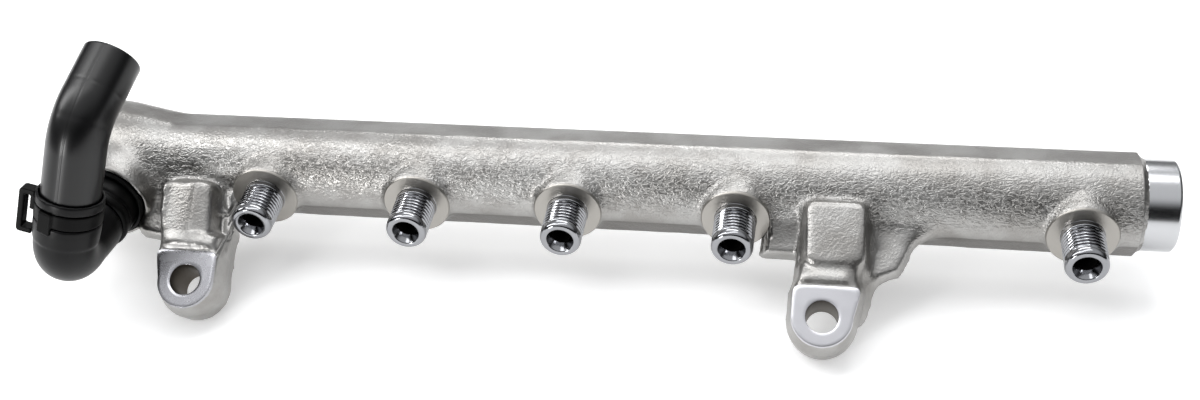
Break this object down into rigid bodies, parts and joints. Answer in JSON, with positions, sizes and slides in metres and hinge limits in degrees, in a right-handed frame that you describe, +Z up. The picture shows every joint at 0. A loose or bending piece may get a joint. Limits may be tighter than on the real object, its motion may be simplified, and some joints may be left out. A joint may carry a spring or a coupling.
{
  "type": "fuel rail",
  "caption": "forged steel common rail with screwed outlets in a row, leaning bolt lugs, a sensor port, and a plastic return elbow with a short hose on its thick end",
  "frame": {"origin": "centre of the sensor port's face, on the rail's axis", "axes": "+X along the rail, out of the sensor port; -Y the way the outlets point; +Z up"},
  "size_m": [0.384, 0.089, 0.0983],
  "materials": {
    "forged_steel": "matte",
    "hardened_steel": "satin",
    "spring_steel": "satin",
    "plated_steel": "satin",
    "copper": "satin",
    "black_nylon": "satin",
    "clip_nylon": "satin",
    "seal_rubber": "matte",
    "hose_rubber": "satin"
  },
  "bodies": {
    "rail": {"rail_body": "forged_steel", "valve_seat": "hardened_steel", "valve_spring": "spring_steel", "spring_shim": "hardened_steel", "valve_plug": "plated_steel", "plug_washer": "copper", "return_elbow": "black_nylon", "locking_collar": "black_nylon", "boss_seal": "seal_rubber", "spigot_seal": "seal_rubber", "hose_fitting": "black_nylon", "socket_seal": "seal_rubber", "quick_clip": "clip_nylon", "hose": "hose_rubber"},
    "plunger": {"valve_plunger": "hardened_steel"}
  },
  "joints": [
    {"name": "plunger_lift", "type": "slide", "parent": "rail", "child": "plunger", "axis": [-1, 0, 0], "range_m": [0, 0.0008], "stiffness_N_per_m": 2000, "springref_m": -0.004, "deforming": ["valve_spring"]}
  ]
}
